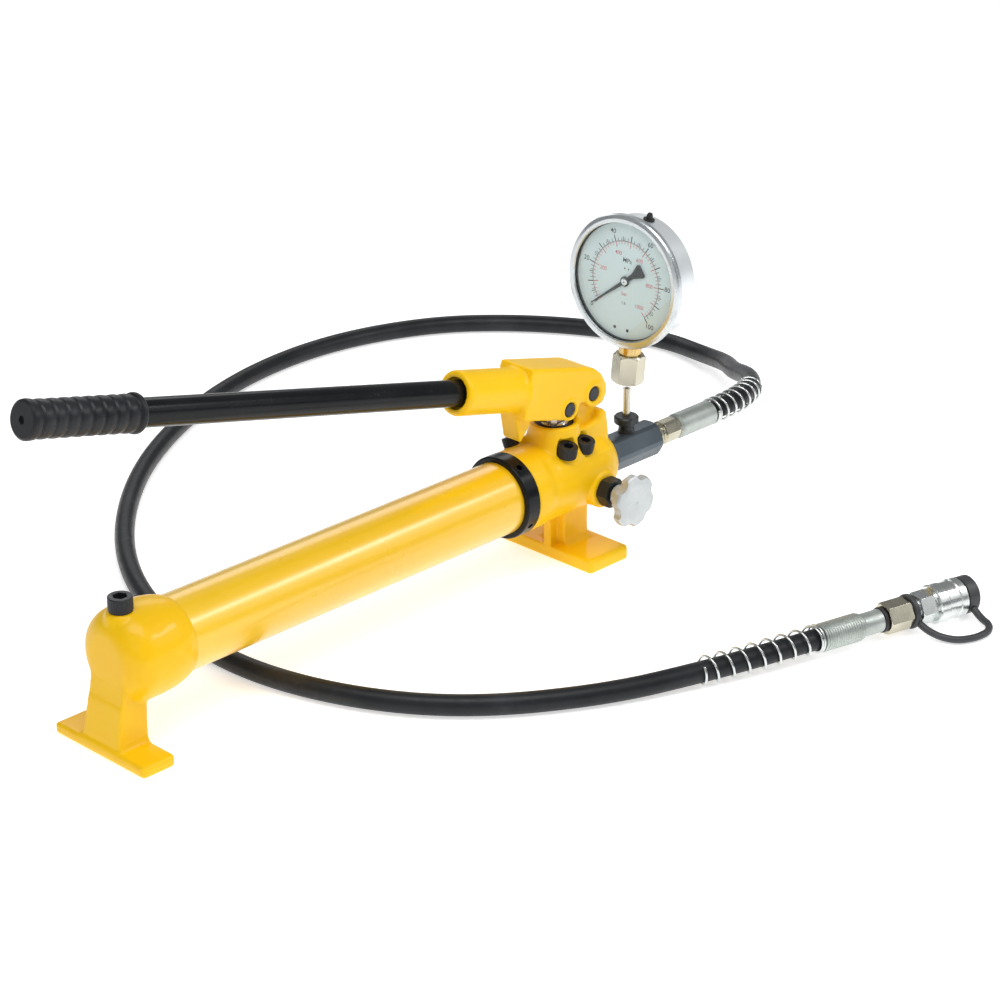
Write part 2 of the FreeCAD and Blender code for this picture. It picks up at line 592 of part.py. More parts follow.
cb = LEVER.inverse().multVec(V(float(crank_x), 0, float(crank_z)))     # crank pin in the lever frame
side = [(-79, 22.6), (-78, 23.2), (-12, 22.6), (-2, 20.8), (7, 16.4), (13.6, 9.4), (15.8, 1.0), (13.4, -7), (6, -11.0), (-2, -11.2),
        (-8, -7.6), (-14, -7.0), (cb.x + 9.0, cb.z - 1.0), (cb.x + 6.6, cb.z - 6.6), (cb.x, cb.z - 9.2), (cb.x - 10, cb.z - 8.4),
        (-79, -19.4)]
block = pad("XZ_Plane", side, cheek_out * 2, mid=True)
block = soften(block, lambda e: e.BoundBox.YLength < 0.5 and e.BoundBox.ZMax > 5 and e.BoundBox.XLength > 4, [3.0, 2.0, 1.2])
rb = turned([(0, 0), (socket_od / 2, 0), (socket_od / 2, socket_far - 74), (0, socket_far - 74)],
            rounds=[(socket_od / 2, socket_far - 74, 3.0)])
locate(rb, (-74.0, 0, axis_up), (-1, 0, 0))
shoulder2 = cone(17.6, 20.5, 9.0, (-84.0, 0, axis_up), (1, 0, 0))
hook = pad("XZ_Plane", [(-80.5, -10), (-79.6, -18), (-70.2, -39.4), (-68.6, -39.4), (-59.6, -21.0), (-59.0, -10)], 19.6, mid=True)
bossA = [cyl(10.6, 1.4, (0, s * float(cheek_out), 0), (0, s, 0)) for s in (-1, 1)]
bossB = [cyl(9.2, 1.4, (cb.x, s * float(cheek_out), cb.z), (0, s, 0)) for s in (-1, 1)]
body = fuse(block, rb, shoulder2, hook, *(bossA + bossB))
gap = pad("XZ_Plane", [(-48, -45), (-48, 10), (-44, 13.6), (2, 13.6), (9, 11.5), (30, 4), (30, -45)], cheek_in * 2, mid=True)
mouth = turned([(0, 0), (12.6, 0), (12.6, 5.0), (lever_od / 2, 5.0), (lever_od / 2, 66.0), (0, 66.0)])
locate(mouth, (-socket_far, 0, axis_up), (1, 0, 0))
pinA = cyl(pin_od / 2, 60, (0, -30, 0), (0, 1, 0))
pinB = cyl(pin_od / 2, 60, (cb.x, -30, cb.z), (0, 1, 0))
sinks = [cyl(7.2, 6, (x, -cheek_out + 0.2, z), (0, -1, 0)) for x, z in ((0, 0), (cb.x, cb.z))]
body = cut(body, gap, mouth, pinA, pinB, *sinks)
keep("handle_block", on_lever(body))

lv = turned([(lever_od / 2 - 2.4, 0), (lever_od / 2, 0), (lever_od / 2, grip_far - 84.0), (lever_od / 2 - 2.4, grip_far - 84.0)])
lever = fuse(locate(lv, (-(grip_far - 3.0), 0, axis_up), (1, 0, 0)))
keep("handle_tube", on_lever(lever))

# rubber grip: closed end with a dimple, eight ribs, a flange at each end
pts = [(0, 2.0), (3.0, 2.0), (3.0, 0.0), (12.6, 0), (14.2, 1.4), (14.6, 4.0), (14.2, 7.2), (13.2, 8.8)]
z0 = 9.6
for k in range(8):
    b0 = z0 + k * 10.6
    pts += [(12.7, b0), (13.6, b0 + 1.6), (14.0, b0 + 4.4), (14.0, b0 + 6.2), (13.6, b0 + 9.0), (12.7, b0 + 10.2)]
pts += [(13.2, 94.6), (14.4, 95.4), (14.8, 96.6), (14.8, 98.2), (14.2, 99.4), (lever_od / 2, 99.6), (lever_od / 2, 3.0), (0, 3.0)]
grip = turned(pts)
grip = fuse(locate(grip, (-grip_far, 0, axis_up), (1, 0, 0)))
keep("handle_grip", on_lever(grip))


def headed_pin(length, groove):
    r = pin_od / 2
    return turned([(0, 0), (r - 0.8, 0), (r, 0.8), (r, length - groove - 1.2), (r - 1.1, length - groove - 1.2), (r - 1.1, length - groove),
                   (r, length - groove), (r, length - 0.8), (r - 0.8, length), (0, length)])


fp = headed_pin(41.0, 1.6)
keep("fulcrum_pin", on_lever(fuse(locate(fp, (0, -18.6, 0), (0, 1, 0)))))
cp = headed_pin(41.0, 1.6)
keep("plunger_pin", on_lever(fuse(locate(cp, (cb.x, -18.6, cb.z), (0, 1, 0)))))
clips = []
for cx, cz in ((0, 0), (cb.x, cb.z)):
    c = turned([(pin_od / 2 - 1.1, 0), (pin_od / 2 + 1.7, 0), (pin_od / 2 + 1.7, 1.1), (pin_od / 2 - 1.1, 1.1)])
    locate(c, (cx, 19.65, cz), (0, 1, 0))
    notch = box(3.2, 4.0, 12.0, (cx - 1.6, 18.0, cz - 12.0))
    clips.append(cut(c, notch))
keep("pin_clips", on_lever(fuse(*clips)))

# ------------------------------------------------- outlet block and gauge
bar = common(hexbar(bar_af, bar_front - bar_back), turned([(0, 0), (14.0, 0), (15.5, 1.2), (15.5, bar_front - bar_back - 1.2),
                                                          (14.0, bar_front - bar_back), (0, bar_front - bar_back)]))
nip = cyl(9.9, 19.0, (0, 0, -19.0))
through = cyl(3.0, 100, (0, 0, -30))
port = cyl(7.5, 16.0, (0, 0, bar_front - bar_back - 15.0))
tee = cyl(5.0, 20.0, (0, 0, stem_x - bar_back), (1, 0, 0))
bar = cut(fuse(bar, nip), through, port)
locate(bar, (bar_back, 0, out_z), X_DIR, (0, 1, 0))
bar = cut(fuse(bar), cyl(5.5, 24.0, (stem_x, 0, out_z)))
keep("outlet_block", bar)
keep("outlet_ring", locate(turned([(9.9, 0), (16.4, 0), (16.4, bar_back - head_front), (9.9, bar_back - head_front)],
                                  rounds=[(16.4, 0, 0.9), (16.4, 5.0, 0.9)]), (head_front, 0, out_z), X_DIR))
top = out_z + bar_af / 2
ad = turned([(3.3, -9.0), (5.4, -9.0), (5.4, 0), (7.2, 0.0), (6.4, 3.0), (6.4, 7.4), (10.0, 8.4), (10.4, 9.4), (10.4, 13.4), (9.2, 14.6), (3.3, 14.6)])
ad = fuse(ad)
flatted = cut(ad, box(30, 10, 10, (-15, 9.3, 8.0)), box(30, 10, 10, (-15, -19.3, 8.0)))
keep("gauge_adapter", locate(flatted, (stem_x, 0, top)))
st = turned([(1.6, 0), (stem_od / 2, 0), (stem_od / 2, 45), (1.6, 45)])
keep("gauge_stem", locate(st, (stem_x, 0, top - 6.0)))

lam, psi, rho = [math.radians(float(q)) for q in (lean, turn, roll)]
FRONT_V = V(-math.cos(lam) * math.cos(psi), -math.cos(lam) * math.sin(psi), math.sin(lam))
UP_V = (V(0, 0, 1) - FRONT_V * FRONT_V.z).normalize()
UP_V = (UP_V * math.cos(rho) + UP_V.cross(FRONT_V) * math.sin(rho)).normalize()
RIGHT_V = UP_V.cross(FRONT_V)
UP, FRONT, RIGHT = [(q.x, q.y, q.z) for q in (UP_V, FRONT_V, RIGHT_V)]
GO = V(float(stem_x), 0, float(nut_low))


def gauge_point(x, y, z):
    """Gauge frame: x right, y up the stem, z out of the dial; origin at the bezel face centre."""
    c = GO + V(*UP) * float(gauge_up) + V(*FRONT) * float(gauge_out)
    return c + V(*RIGHT) * x + V(*UP) * y + V(*FRONT) * z


def on_gauge(obj):
    c = gauge_point(0, 0, 0)
    obj.Placement = place((c.x, c.y, c.z), FRONT, RIGHT)
    return obj


def on_stem(obj, up=0.0):
    c = GO + V(*UP) * up
    back = V(*FRONT) * -1
    obj.Placement = place((c.x, c.y, c.z), UP, (back.x, back.y, back.z))
    return obj


nut = common(turned([(9.5, 0), (12.4, 0), (13.86, 1.3), (13.86, nut_high - 2.2), (11.6, nut_high), (9.5, nut_high)]),
             hexbar(nut_af, nut_high, (0, 0, 0), (0, 0, 1), (COS(math.radians(6.5)), SIN(math.radians(6.5)), 0)))
nut = fuse(nut, turned([(3.3, 0.0), (9.6, 0.0), (9.6, 4.0), (3.3, 4.0)]))
keep("gauge_nut", on_stem(nut))
sock = fuse(turned([(2.0, 8.0), (9.4, 8.0), (9.4, 45.4), (2.0, 45.4)]), box(14.0, 20.0, 20.0, (-6.0, -10.0, 45.0)))
sock = cut(sock, cyl(2.0, 40, (0, 0, 0)))
keep("gauge_socket", on_stem(sock))

RB, RG, RC = bezel_od / 2, glass_od / 2, case_od / 2
bz = turned([(RG, -1.5), (RG, -0.5), (RG + 0.8, 0.0), (RG + 3.4, 0.0), (RB - 0.9, -1.3), (RB, -2.6), (RB, -6.0), (RB - 1.0, -7.0),
             (RC + 0.1, -7.0), (RC + 0.1, -1.5)])
keep("gauge_bezel", on_gauge(bz))
keep("gauge_glass", on_gauge(turned([(0, -2.6), (RC - 1.7, -2.6), (RC - 1.7, -1.6), (0, -1.6)])))
keep("gauge_gasket", on_gauge(turned([(RG - 0.6, -4.9), (RC - 1.7, -4.9), (RC - 1.7, -2.7), (RG - 0.6, -2.7)])))
dial = turned([(2.2, -5.9), (RC - 1.7, -5.9), (RC - 1.7, -5.0), (2.2, -5.0)])
keep("gauge_dial", on_gauge(dial))
cs = turned([(0, -case_deep), (RC - 2.6, -case_deep), (RC, -case_deep + 2.6), (RC, -1.6), (RC - 1.5, -1.6), (RC - 1.5, -case_deep + 3.2),
             (RC - 3.4, -case_deep + 1.5), (0, -case_deep + 1.5)])
sockhole = cyl(9.5, 30, (0, -RC - 5.0, -gauge_out), (0, 1, 0))
vent_a = math.radians(82.0)
VENT = (COS(vent_a), SIN(vent_a), 0)
vent_at = (float(RC) * VENT[0], float(RC) * VENT[1], -19.0)
venthole = cyl(3.2, 12, (vent_at[0] - 6 * VENT[0], vent_at[1] - 6 * VENT[1], -19.0), VENT)
keep("gauge_case", on_gauge(cut(cs, sockhole, venthole)))
vp = turned([(0, -3.0), (3.1, -3.0), (3.1, 0.35), (4.8, 0.35), (4.8, 1.2), (2.6, 1.3), (2.6, 4.4), (1.8, 6.2), (0, 6.6)])
locate(vp, vent_at, VENT)
keep("gauge_fill_plug", on_gauge(fuse(vp)))
# C-shaped Bourdon tube from the socket, and its movement frame
bt = doc.addObject("Part::Torus", tag("Torus"))
bt.Radius1 = 34.0
bt.Radius2 = 3.6
bt.Angle3 = 262.0
bt.Placement = FreeCAD.Placement(V(0, 0, -22.0), FreeCAD.Rotation(V(0, 0, 1), -69))
doc.recompute()
keep("bourdon_tube", on_gauge(fuse(bt)))
front_plate = cut(cyl(14.0, 1.2, (0, 0, -10.4)), cyl(1.46, 3, (0, 0, -11.2)))
back_plate = cyl(15.0, 1.6, (0, 0, -18.0))
mv2 = fuse(back_plate, front_plate, box(3.0, 3.0, 7.0, (9.0, -1.5, -16.8)), box(3.0, 3.0, 7.0, (-12.0, -1.5, -16.8)),
           box(7.0, 13.0, 1.2, (-3.5, -25.6, -17.8)))
keep("gauge_movement", on_gauge(mv2))
# pointer: boss, tapered blade, triangular counterweight, spindle
na = math.radians(220.2)      # rest direction, measured anticlockwise from the dial's right
blade = pad("XY_Plane", [(0, -1.7), (40.5, -0.35), (41.6, 0), (40.5, 0.35), (0, 1.7)], 0.6, lift=-4.1)
tail = pad("XY_Plane", [(0, -1.5), (-10, -2.2), (-19.5, -6.0), (-21.5, -4.8), (-21.5, 4.8), (-19.5, 6.0), (-10, 2.2), (0, 1.5)], 0.6, lift=-4.1)
hub = turned([(0, -16.0), (1.4, -16.0), (1.4, -4.6), (4.2, -4.5), (4.2, -3.4), (3.2, -3.0), (0, -3.0)])
needle = fuse(blade, tail, hub)
c = gauge_point(0, 0, 0)
rotx = V(*RIGHT) * COS(na) + V(*UP) * SIN(na)
needle.Placement = place((c.x, c.y, c.z), FRONT, (rotx.x, rotx.y, rotx.z))
keep("gauge_needle", needle)

# --------------------------------------------------------------- the hose
# pump end: swivel nut, crimped ferrule
hn = common(turned([(5.0, -14.0), (7.4, -14.0), (7.4, 0), (9.2, 0), (10.6, 1.4), (10.6, 4.4), (8.6, 9.0), (8.6, 11.0), (10.2, 12.0), (10.2, 28.0), (9.0, 29.0), (8.4, 29.0), (8.4, 31.0), (5.0, 31.0)]),
            fuse(cyl(12.0, 26.0, (0, 0, -15.0)), hexbar(19.0, 22.0, (0, 0, 10.6))))
keep("hose_nut", locate(hn, (bar_front, 0, out_z), X_DIR))
fr_l = ferrule_end - bar_front - 31.0
fe = turned([(0, 0), (ferrule_od / 2 - 2.0, 0), (ferrule_od / 2, 2.0), (ferrule_od / 2, fr_l - 1.0), (ferrule_od / 2 - 1.0, fr_l), (0, fr_l)])
keep("hose_ferrule", locate(fe, (bar_front + 31.0, 0, out_z), X_DIR))

# free hose: control points of its route, floor at z = 0
S = V(-6.9, -272.5, 14.8)                       # where the tool-end sleeve starts
TDIR = V(0.9672, -0.2539, 0.0119).normalize()   # axis of the tool-end fittings
route = [(180, 0, 68.6), (208, 0, 68.6), (238.6, 7.2, 67.2), (270, 25, 61.8), (299.8, 55, 53.8), (326.8, 93.9, 39.6),
         (363.4, 132.6, 26.7), (391.6, 182.3, 13.1), (404.7, 242.3, 8.5), (385.9, 308.3, 8.5), (341.5, 379, 8.5),
         (273.6, 440.8, 8.5), (165, 475.3, 8.5), (43.3, 464.4, 8.5), (-77.1, 415, 8.5), (-180.9, 343.8, 8.5),
         (-273, 244.2, 8.5), (-327.6, 137.5, 8.5), (-342.3, 23, 8.5), (-318.6, -72.6, 8.5), (-266.3, -151.1, 8.5),
         (-179.9, -209.6, 8.5), (-101.0, -240.9, 10.6), (-48.5, -261.58, 14.29), (-6.9, -272.5, 14.8)]


def hose_path(points):
    """Straight runs joined by tangent arcs; each arc takes 0.45 of the shorter run."""
    pts = [V(*p) for p in points]
    edges, here, total = [], pts[0], 0.0
    radii = []
    for i in range(1, len(pts) - 1):
        a, b, c = pts[i - 1], pts[i], pts[i + 1]
        u, w = (b - a), (c - b)
        lu, lw = u.Length, w.Length
        u.normalize()
        w.normalize()
        half = math.acos(max(-1.0, min(1.0, u.dot(w)))) / 2
        back = 0.45 * min(lu, lw)
        radii.append(round(back / math.tan(half), 1))
        p, q = b - u * back, b + w * back
        bis = (w - u).normalize()
        r = back / math.tan(half)
        centre = b + bis * (r / math.cos(half))
        mid = centre - bis * r
        edges.append(Part.LineSegment(here, p).toShape())
        edges.append(Part.Arc(p, mid, q).toShape())
        here = q
    edges.append(Part.LineSegment(here, pts[-1]).toShape())
    return Part.Wire(edges), radii


wire, radii = hose_path(route)
print("hose bend radii (mm):", radii)
start_dir = (V(*route[1]) - V(*route[0])).normalize()
prof = Part.Wire([Part.makeCircle(float(hose_od) / 2, V(*route[0]), start_dir)])
shell = wire.makePipeShell([prof], True, False)
hose = doc.addObject("Part::Feature", "HoseTube")
hose.Shape = shell
keep("hose", hose)
print("hose centreline %.1f mm, volume ratio %.4f" % (wire.Length, hose.Shape.Volume / (math.pi * (float(hose_od) / 2) ** 2 * wire.Length)))


# open wire guards at both hose ends, kept as plain sleeves with the true outer size
def guard(path_pts, r_out, r_in):
    w, _ = hose_path(path_pts)
    d = (V(*path_pts[1]) - V(*path_pts[0])).normalize()
    outer = w.makePipeShell([Part.Wire([Part.makeCircle(r_out, V(*path_pts[0]), d)])], True, False)
    inner = w.makePipeShell([Part.Wire([Part.makeCircle(r_in, V(*path_pts[0]), d)])], True, False)
    f = doc.addObject("Part::Feature", tag("Guard"))
    f.Shape = outer.cut(inner)
    return f


g1 = [(180.6, 0, 68.6), (208, 0, 68.6), (238.6, 7.2, 67.2), (254.0, 15.9, 64.6)]
keep("hose_guard_spring", guard(g1, 11.8, 9.7))
tg = [(-106.6, -238.7, 11.6), (-101.0, -240.9, 11.7), (-48.2, -260.6, 14.4), (-7.5, -272.3, 15.2)]
keep("tool_guard_spring", guard(tg, 11.4, 9.6))


def on_tool(obj, along, x_dir=(0, -1, 0)):
    p = S + TDIR * along
    obj.Placement = place((p.x, p.y, p.z), (TDIR.x, TDIR.y, TDIR.z), x_dir)
    return obj


# close-wound sleeve over the crimped end: ridged outside
pts = [(0, 0)]
for k in range(17):
    b0 = k * 2.24
    top_r = 11.3 if k < 16 else 10.6
    pts += [(top_r - 0.8, b0), (top_r, b0 + 0.55), (top_r, b0 + 1.65), (top_r - 0.8, b0 + 2.2)]
pts += [(9.4, 39.4), (0, 39.4)]
keep("tool_sleeve", on_tool(turned(pts), 0.0))
keep("tool_stem", on_tool(turned([(0, 0), (9.2, 0), (9.2, 17.6), (7.0, 17.6), (7.0, 21.6), (0, 21.6)]), 39.4))
keep("tool_seal_ring", on_tool(turned([(7.05, 0), (10.2, 0), (10.2, 3.6), (7.05, 3.6)], rounds=[(10.2, 0, 1.2), (10.2, 3.6, 1.2)]), 57.2))
tn = hexnut(22.6, 22.4, 3.0, 1.3)
keep("tool_nut", on_tool(tn, 61.1))
cbod = fuse(turned([(3.0, 0), (9.2, 0), (9.2, 8.4), (3.0, 8.4)]),
            locate(hexnut(23.5, 14.0, 3.0, 1.2), (0, 0, 8.4)),
            turned([(3.0, 22.4), (13.0, 22.4), (13.0, 56.6), (12.0, 57.6), (8.0, 57.6), (8.0, 30.0), (3.0, 26.0)]))
keep("coupler_body", on_tool(cbod, 83.6))
col = turned([(13.06, 0), (collar_od / 2 - 1.0, 0), (collar_od / 2, 1.0), (collar_od / 2, 9.0), (collar_od / 2 - 0.8, 10.0), (collar_od / 2 - 0.8, 20.0),
              (collar_od / 2, 21.0), (collar_od / 2, 27.0), (collar_od / 2 - 1.0, 28.0), (13.06, 28.0)])
keep("coupler_collar", on_tool(col, 107.4))

# dust cap on the coupler's mouth, and the strap that ties it to the neck
dc = turned([(13.1, 0), (15.2, 0), (15.2, 9.4), (13.8, 10.8), (4.2, 11.2), (4.2, 12.0), (8.2, 12.0), (8.2, 15.0), (0, 15.0), (0, 5.4), (13.1, 5.4)])
keep("dust_cap", on_tool(dc, 136.4))
ringb = turned([(9.3, 0), (14.0, 0), (14.0, 4.6), (9.3, 4.6)], rounds=[(14.0, 0, 1.6), (14.0, 4.6, 1.6)])
on_tool(ringb, 84.1)
band_pts = [(76.2, -304.6, 10.0), (75.8, -314.0, 6.2), (77.4, -326.0, 4.0), (83.0, -337.5, 3.4), (96.0, -345.0, 3.4), (111.0, -346.5, 3.6),
            (120.8, -341.0, 4.2), (123.8, -330.1, 5.6), (126.0, -321.6, 9.85)]
bw, band_radii = hose_path(band_pts)
print("strap %.0f mm, bends (mm):" % bw.Length, band_radii)
bd = (V(*band_pts[1]) - V(*band_pts[0])).normalize()
band = doc.addObject("Part::Feature", tag("Band"))
band.Shape = bw.makePipeShell([Part.Wire([Part.makeCircle(2.9, V(*band_pts[0]), bd)])], True, False)
keep("dust_cap_strap", fuse(ringb, band))

doc.recompute()

# ------------------------------------------------------------ checks, export
bad = []
for o in doc.Objects:
    st_ = [s for s in o.State if "Invalid" in s or "Error" in s]
    if st_:
        bad.append((o.Name, o.Label, o.State))
for name, o in made.items():
    sh = o.Shape
    if sh.isNull() or not sh.isValid() or sh.Volume <= 0:
        bad.append((name, "shape", sh.isNull() or sh.isValid()))
if bad:
    for b in bad:
        print("FAILED", b)
    raise SystemExit("the model is not sound")

os.makedirs("parts", exist_ok=True)
for name, o in made.items():
    o.Shape.exportStep("parts/%s.step" % name)
print(len(made), "parts")
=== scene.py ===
import bpy
import bmesh
import math
from mathutils import Matrix, Vector


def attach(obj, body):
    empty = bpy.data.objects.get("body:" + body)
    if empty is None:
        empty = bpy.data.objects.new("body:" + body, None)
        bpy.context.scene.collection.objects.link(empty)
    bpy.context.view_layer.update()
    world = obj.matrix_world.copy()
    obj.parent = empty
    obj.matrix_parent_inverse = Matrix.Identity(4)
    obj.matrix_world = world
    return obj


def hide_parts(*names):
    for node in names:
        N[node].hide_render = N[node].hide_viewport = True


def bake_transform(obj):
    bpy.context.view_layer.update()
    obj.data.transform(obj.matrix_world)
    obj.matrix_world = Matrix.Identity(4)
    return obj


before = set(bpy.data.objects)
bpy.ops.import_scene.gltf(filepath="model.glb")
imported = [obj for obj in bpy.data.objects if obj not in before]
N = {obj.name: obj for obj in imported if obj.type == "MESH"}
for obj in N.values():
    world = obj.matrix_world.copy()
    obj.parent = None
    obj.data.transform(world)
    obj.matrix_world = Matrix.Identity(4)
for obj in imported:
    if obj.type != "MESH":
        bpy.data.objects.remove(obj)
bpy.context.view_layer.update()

scene = bpy.context.scene


# ------------------------------------------------------------------ camera
cam_data = bpy.data.cameras.new("Camera")
cam = bpy.data.objects.new("Camera", cam_data)
scene.collection.objects.link(cam)
cam.location = (-1.599533, -1.480569, 1.018383)
cam.rotation_euler = (math.radians(65.899), 0.0, math.radians(-45.78931))
cam_data.lens = 104.35
cam_data.sensor_width = 36.0
cam_data.clip_start, cam_data.clip_end = 0.05, 60.0
scene.camera = cam


def link(name, data, body="pump"):
    o = bpy.data.objects.new(name, data)
    scene.collection.objects.link(o)
    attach(o, body)
    return o


# -------------------------------------------------------------------- hose
ROUTE = [(180, 0, 68.6), (208, 0, 68.6), (238.6, 7.2, 67.2), (270, 25, 61.8), (299.8, 55, 53.8), (326.8, 93.9, 39.6),
         (363.4, 132.6, 26.7), (391.6, 182.3, 13.1), (404.7, 242.3, 8.5), (385.9, 308.3, 8.5), (341.5, 379, 8.5),
         (273.6, 440.8, 8.5), (165, 475.3, 8.5), (43.3, 464.4, 8.5), (-77.1, 415, 8.5), (-180.9, 343.8, 8.5),
         (-273, 244.2, 8.5), (-327.6, 137.5, 8.5), (-342.3, 23, 8.5), (-318.6, -72.6, 8.5), (-266.3, -151.1, 8.5),
         (-179.9, -209.6, 8.5), (-101.0, -240.9, 10.6), (-48.5, -261.58, 14.29), (-6.9, -272.5, 14.8)]


def spline_curve(name, points, order=3):
    cu = bpy.data.curves.new(name, "CURVE")
    cu.dimensions = "3D"
    sp = cu.splines.new("NURBS")
    sp.points.add(len(points) - 1)
    for p, q in zip(sp.points, points):
        p.co = (q[0] / 1000, q[1] / 1000, q[2] / 1000, 1.0)
        p.radius = 0.0083
    sp.order_u = order
    sp.use_endpoint_u = True
    sp.resolution_u = 16
    return cu


hose_curve = spline_curve("hose_tube", ROUTE)
hose_curve.bevel_depth = 1.0      # times the points' radius: half of the 16.6 mm diameter
hose_curve.bevel_resolution = 10
hose_curve.use_fill_caps = True
hose = link("hose_tube", hose_curve, "pump")
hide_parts("hose")


def line_of(curve):
    """The points of a curve's own line, read from its spline."""
    plain = curve.copy()
    plain.bevel_depth = 0.0
    o = bpy.data.objects.new("line_probe", plain)
    scene.collection.objects.link(o)
    bpy.context.view_layer.update()
    me = bpy.data.meshes.new_from_object(o.evaluated_get(bpy.context.evaluated_depsgraph_get()))
    pts = [v.co.copy() for v in me.vertices]
    bpy.data.objects.remove(o)
    bpy.data.meshes.remove(me)
    out = [pts[0]]
    for p in pts[1:]:
        if (p - out[-1]).length > 1e-5:
            out.append(p)
    return out


def measured(points):
    s = [0.0]
    for a, b in zip(points, points[1:]):
        s.append(s[-1] + (b - a).length)
    return s


def carried_frames(points, start_up=(0, 0, 1)):
    """Tangent and two normals at each point, carried along without twist."""
    tan = []
    for i in range(len(points)):
        a = points[max(i - 1, 0)]
        b = points[min(i + 1, len(points) - 1)]
        tan.append((b - a).normalized())
    n = Vector(start_up)
    out = []
    for t in tan:
        n = (n - t * n.dot(t)).normalized()
        out.append((t, n, t.cross(n)))
    return out


def sampled(points, s_all, frames, s):
    s = min(max(s, 0.0), s_all[-1])
    k = 0
    lo_i, hi_i = 0, len(s_all) - 1
    while hi_i - lo_i > 1:
        k = (lo_i + hi_i) // 2
        if s_all[k] <= s:
            lo_i = k
        else:
            hi_i = k
    f = (s - s_all[lo_i]) / max(s_all[hi_i] - s_all[lo_i], 1e-12)
    p = points[lo_i].lerp(points[hi_i], f)
    t = frames[lo_i][0].lerp(frames[hi_i][0], f).normalized()
    n = frames[lo_i][1].lerp(frames[hi_i][1], f)
    n = (n - t * n.dot(t)).normalized()
    return p, t, n, t.cross(n)


def tube_mesh(name, path, radius, sides=12, close_ends=True):
    """A round wire swept along many points."""
    fr = carried_frames(path, (0.3, 0.5, 0.81))
    verts, faces = [], []
    for p, (t, n, b) in zip(path, fr):
        for k in range(sides):
            a = 2 * math.pi * k / sides
            verts.append(p + (n * math.cos(a) + b * math.sin(a)) * radius)
    m = len(path)
    for i in range(m - 1):
        for k in range(sides):
            a0, a1 = i * sides + k, i * sides + (k + 1) % sides
            faces.append((a0, a1, a1 + sides, a0 + sides))
    if close_ends:
        faces.append(tuple(reversed(range(sides))))
        faces.append(tuple(range((m - 1) * sides, m * sides)))
    me = bpy.data.meshes.new(name)
    me.from_pydata([tuple(v) for v in verts], [], faces)
    me.update()
    for f in me.polygons:
        f.use_smooth = len(f.vertices) == 4
    return me


hose_line = line_of(hose_curve)
hose_s = measured(hose_line)
hose_f = carried_frames(hose_line)
HOSE_LENGTH = hose_s[-1]


def wire_spring(name, s0, s1, radius, wire, turns, phase, close0, close1, lift=0.0, tail=0.0):
    """Open wire guard round the hose, with closed turns at either end."""
    path = []
    steps = int(turns * 40)
    total = s1 - s0
    # advance per turn: wire thickness where closed, the rest shared by the open turns
    closed = close0 + close1
    open_turns = turns - closed
    open_pitch = (total - closed * wire * 1.03) / open_turns
    s = s0
    for i in range(steps + 1):
        u = i / 40.0
        p, t, n, b = sampled(hose_line, hose_s, hose_f, s)
        a = 2 * math.pi * u + phase
        up = Vector((0, 0, 1))
        up = (up - t * up.dot(t)).normalized()
        path.append(p + (n * math.cos(a) + b * math.sin(a)) * radius + up * lift)
        w0 = min(max((u - close0) / 0.35 + 0.5, 0.0), 1.0) if close0 > 0 else 1.0
        w1 = min(max((turns - close1 - u) / 0.35 + 0.5, 0.0), 1.0) if close1 > 0 else 1.0
        w = min(w0, w1)
        w = w * w * (3 - 2 * w)
        s += ((wire * 1.03) * (1 - w) + open_pitch * w) / 40.0
    me = tube_mesh(name, path, wire / 2)
    return me


pump_spring = link("pump_end_spring", wire_spring("pump_end_spring", 0.0018, 0.0775, 0.01062, 0.0023, 8.4, 1.2, 1.2, 0.5),
                   "pump")
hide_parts("hose_guard_spring")
tool_spring = link("tool_end_spring", wire_spring("tool_end_spring", HOSE_LENGTH - 0.1062, HOSE_LENGTH - 0.0012, 0.01040, 0.0020,
                                                  9.6, 0.6, 0.4, 1.6, 0.0008), "pump")
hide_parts("tool_guard_spring")

# the cap's strap between the coupler's neck and the cap, copied as a piece of its own
strap = bpy.data.objects.new("cap_strap", N["dust_cap_strap"].data.copy())
scene.collection.objects.link(strap)
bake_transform(strap)
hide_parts("dust_cap_strap")


